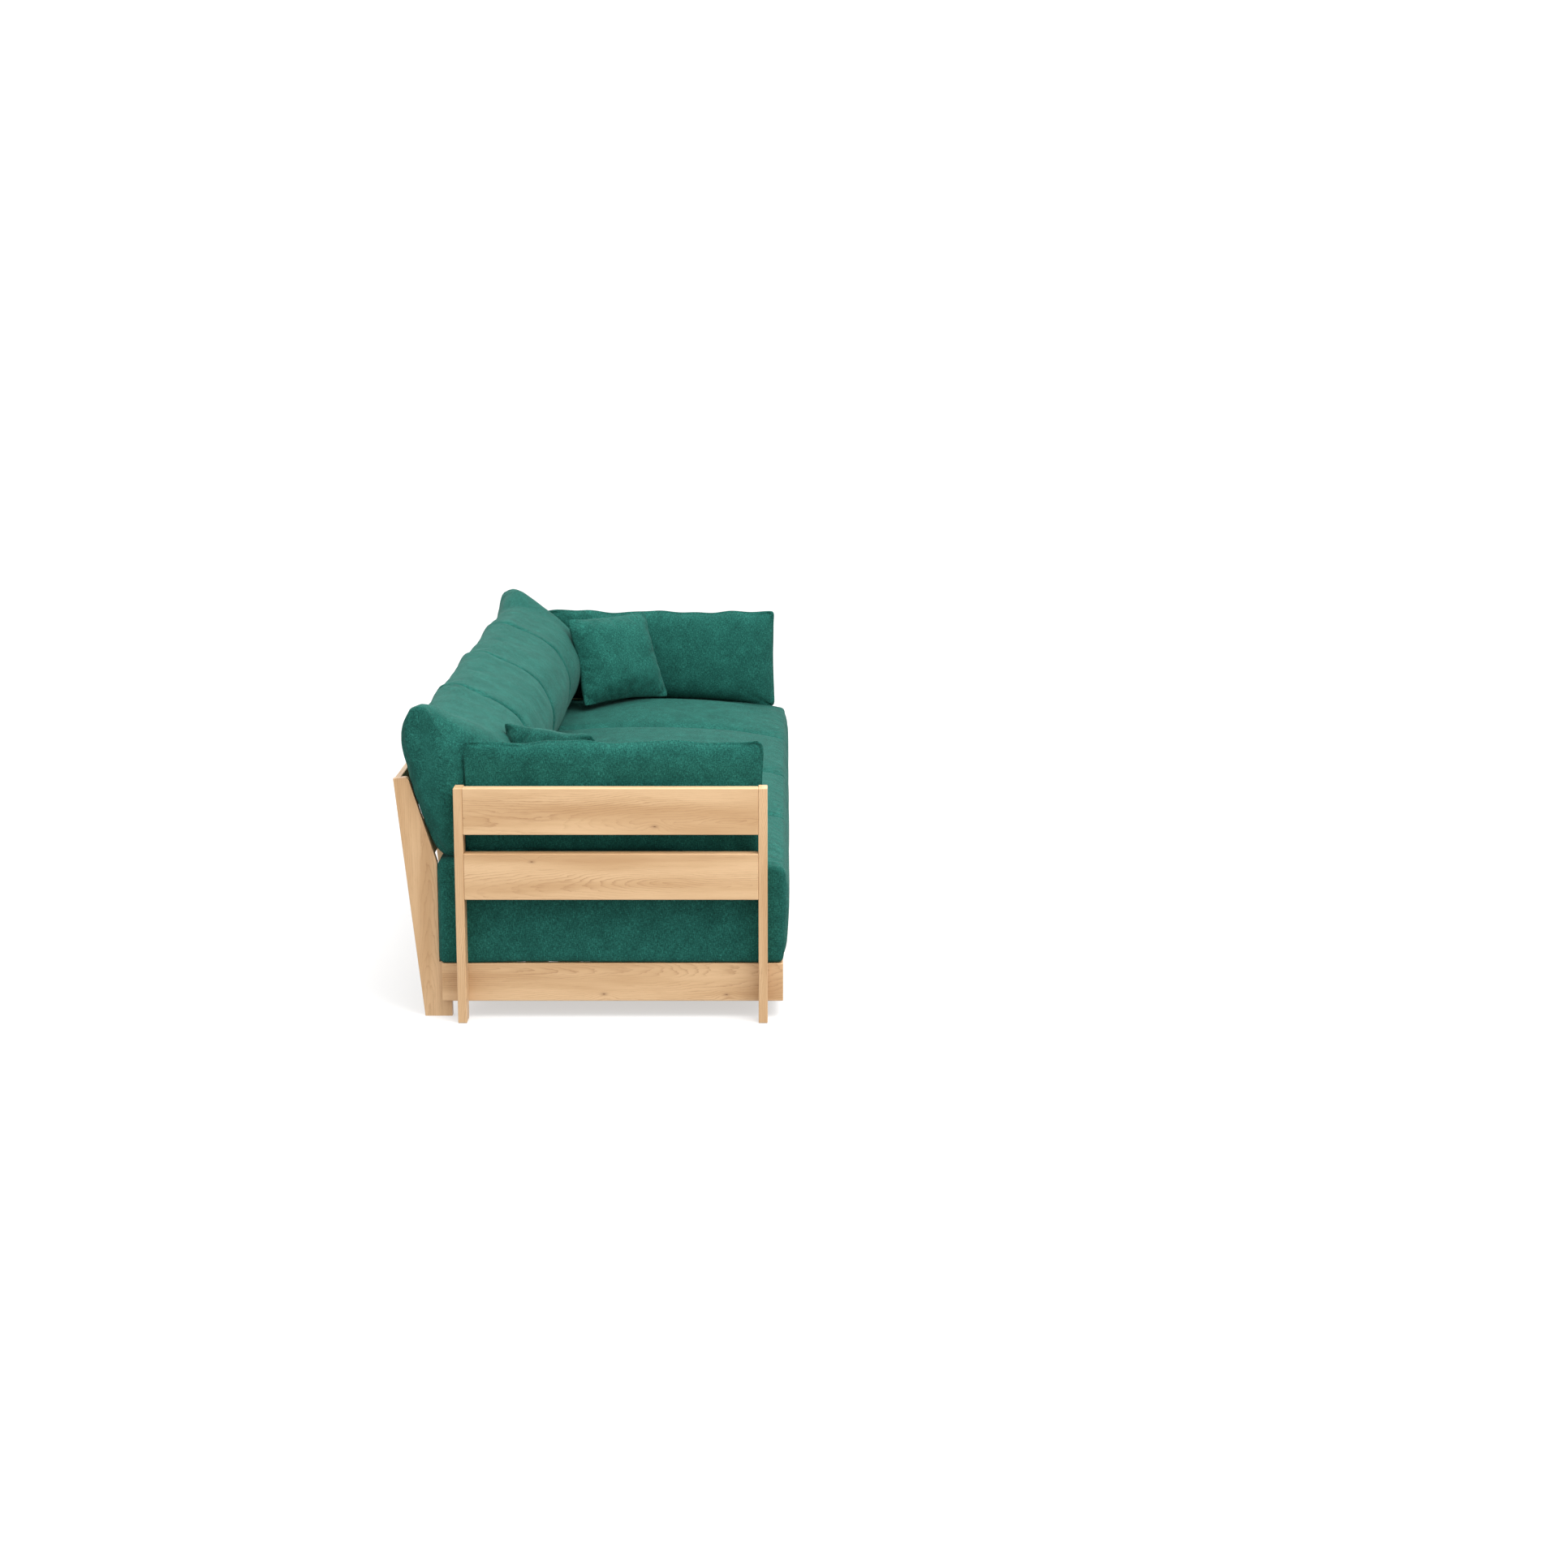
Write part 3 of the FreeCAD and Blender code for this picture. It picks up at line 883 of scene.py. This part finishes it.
tuck = {
    # distances from the arm and depths of the slanting line between the two cushions
    "foot": 0.118,
    "footDepth": 0.748,
    "corner": 0.012,
    "cornerDepth": 0.886,
    "room": 0.006,
    "top": 0.785,              # the end cushion is free above the arm cushion
    "fade": 0.025,
}


def tuckBehindArm(points, side):
    # the end cushion gives way where the arm cushion's rear end stands against it
    fromArm = armFace - side * points[:, 0]
    slope = (tuck["cornerDepth"] - tuck["footDepth"]) / (tuck["foot"] - tuck["corner"])
    nearest = tuck["cornerDepth"] - slope * (fromArm - tuck["corner"]) + tuck["room"]
    depth = points[:, 1] - platformFront
    beside = 1 - smoothStep(tuck["top"], tuck["top"] + tuck["fade"], points[:, 2])
    moved = points.copy()
    moved[:, 1] += np.clip(nearest - depth, 0, None) * beside
    return moved


for number in range(1, 5):
    makeBackCushion(number)
print("back cushions are filled")


def pillowGrid(cellsV, cellsW):
    # two panels sewn together round the edge, as a box grid one cell thick with its sides closed up
    cube, faces, axes = boxGrid((1, cellsV, cellsW))
    keep = axes == 0
    rim = (np.abs(cube[:, 1]) > 0.9999) | (np.abs(cube[:, 2]) > 0.9999)
    cube[rim, 0] = 0
    merged, number = np.unique(np.round(cube, 7), axis=0, return_inverse=True)
    return merged, number.reshape(-1)[faces[keep]], axes[keep]


def roundCorners(v, w, power):
    # draws the corners of a square in, as where two panels are turned inside out
    reach = np.maximum(np.abs(v), np.abs(w))
    spread = (np.abs(v) ** power + np.abs(w) ** power) ** (1 / power)
    shrink = np.where(reach > 0, reach / np.maximum(spread, 1e-9), 1)
    return v * shrink, w * shrink


def pillowSwell(v, w, power, fullness):
    # share of the full thickness: 0 at the seam, 1 in the middle
    return ((1 - np.abs(v) ** power) * (1 - np.abs(w) ** power)) ** fullness


arm = {
    "cells": (104, 42),
    "front": (0.050, 0.030),   # left and right
    "rear": 0.884,
    "bottom": 0.464,
    "top": (0.789, 0.806),     # left and right
    "frontDrop": 0.03,         # the lower seam follows the seat down
    "seamInset": 0.044,        # from the arm's inner face to the seam
    "rearInset": 0.014,
    "outer": 0.042,
    "inner": 0.078,
    "pullIn": 0.005,
    "crestWave": 0.0034,
    "cornerPower": (13, 26),
    "cover": {"pressure": 4, "stiffness": 12, "bending": 0.25, "spare": 0.03, "frames": 20,
              "most": 0.011},
    "waves": (0.16, 0.0018),
    "middleSeed": 80,
    "fill": 0.7,
}


def behindArm(depth):
    # how far in from the arm the cushion may reach beside the end back cushion
    slope = (tuck["foot"] - tuck["corner"]) / (tuck["cornerDepth"] - tuck["footDepth"])
    return np.maximum(tuck["corner"] + (tuck["cornerDepth"] - depth) * slope, 0.004)


def makeArmCushion(side, name):
    cellsV, cellsW = arm["cells"]
    cube, faces, axes = pillowGrid(cellsV, cellsW)
    v, w = cube[:, 1], cube[:, 2]
    hand = int(side > 0)
    front, top = arm["front"][hand], arm["top"][hand]
    halfV, halfW = (arm["rear"] - front) / 2, (top - arm["bottom"]) / 2
    full = pillowSwell(v, w, 5.0, 0.5)
    heavy = 1 - 0.28 * smoothStep(-0.2, 1, w)
    sheetSide = cube[:, 0]
    inward = np.where(sheetSide > 0, arm["inner"] * full * heavy, 0)
    outward = np.where(sheetSide < 0, arm["outer"] * full, 0)
    flatV, flatW = v, w
    v, w = roundCorners(v, w, arm["cornerPower"][hand])
    depth = (front + arm["rear"]) / 2 + v * halfV - np.sign(v) * arm["pullIn"] * v ** 6 * (1 - w ** 2)
    inset = arm["seamInset"] + (arm["rearInset"] - arm["seamInset"]) * smoothStep(0.72, 0.87, depth)
    outward = np.minimum(outward, inset - 0.002)
    fromArm = np.minimum(inset + inward - outward, behindArm(depth))
    z = (arm["bottom"] + top) / 2 + w * halfW
    z = z - arm["frontDrop"] * np.clip(-w, 0, 1) ** 2 * (1 - smoothStep(front, 0.35, depth))
    z = z - np.clip(w, 0, 1) ** 4 * (arm["pullIn"] * 1.6 * (1 - v ** 8))
    wave = np.sin(v * 9.5 + side) + 0.6 * np.sin(v * 21 + 2 * side)
    z = z + np.clip(w, 0, 1) ** 3 * arm["crestWave"] * wave
    points = np.stack([side * (armFace - fromArm), platformFront + depth, z], axis=1)
    if side < 0:
        faces = faces[:, ::-1]
    half = np.array([1, halfV, halfW])
    body = f"{name}_arm_cushion"
    piece = makePiece(f"{body}.cover", points, faces, cube, half, axes)
    seamDistance = np.minimum((1 - np.abs(flatV)) * halfV, (1 - np.abs(flatW)) * halfW)
    swell(piece, arm["cover"], seamDistance)
    ruffle(piece, arm["middleSeed"] + side, *arm["waves"])
    points = readPoints(piece)
    fromArm = np.clip(armFace - side * points[:, 0], 0.0012, behindArm(points[:, 1] - platformFront))
    points[:, 0] = side * (armFace - fromArm)
    points[:, 2] = np.maximum(points[:, 2], arm["bottom"] - arm["frontDrop"])
    writePoints(piece, points)
    finishCushion(piece, body, seamDistance)


for side, name in ((-1, "left"), (1, "right")):
    makeArmCushion(side, name)
print("arm cushions are filled")


pillow = {
    "cells": (54, 50),
    "width": 0.364,
    "height": 0.338,
    "taper": 0.045,            # the slack top corners draw together
    "thickness": 0.125,
    "inset": 0.250,            # from the arm's inner face to the pillow's middle
    "depth": (0.624, 0.609),   # left and right
    "middle": (0.634, 0.651),
    "turn": 52,
    "lean": 23,
    "pullIn": 0.014,
    "cornerPower": 18,
    "cover": {"pressure": 4, "stiffness": 10, "bending": 0.2, "spare": 0.035, "frames": 20,
              "most": 0.011},
    "waves": (0.13, 0.0016),
    "middleSeed": 90,
    "fill": 0.75,
}


def makeThrowPillow(side, name):
    cellsV, cellsW = pillow["cells"]
    cube, faces, axes = pillowGrid(cellsV, cellsW)
    v, w = cube[:, 1], cube[:, 2]
    halfV, halfW = pillow["width"] / 2, pillow["height"] / 2
    thick = cube[:, 0] * pillow["thickness"] / 2 * pillowSwell(v, w, 2.6, 0.62)
    seamDistance = np.minimum((1 - np.abs(v)) * halfV, (1 - np.abs(w)) * halfW)
    v, w = roundCorners(v, w, pillow["cornerPower"])
    a = v * (halfV - pillow["pullIn"] * (1 - w ** 2) * np.abs(v) ** 3)
    b = w * (halfW - pillow["pullIn"] * (1 - v ** 2) * np.abs(w) ** 3)
    a = a * (1 - pillow["taper"] * w)
    flat = np.stack([-a, thick, b], axis=1)
    lean = Matrix.Rotation(-math.radians(pillow["lean"]), 3, "X")
    turn = Matrix.Rotation(-side * math.radians(pillow["turn"]), 3, "Z")
    hand = int(side > 0)
    place = Vector((side * (armFace - pillow["inset"]), platformFront + pillow["depth"][hand],
                    pillow["middle"][hand]))
    points = flat @ np.array(turn @ lean).T + np.array(place)
    half = np.array([1, halfV, halfW])
    body = f"{name}_throw_pillow"
    piece = makePiece(f"{body}.cover", points, faces, cube, half, axes)
    swell(piece, pillow["cover"], seamDistance)
    ruffle(piece, pillow["middleSeed"] + side, *pillow["waves"])
    finishCushion(piece, body, seamDistance)


for side, name in ((-1, "left"), (1, "right")):
    makeThrowPillow(side, name)
print("throw pillows are filled")
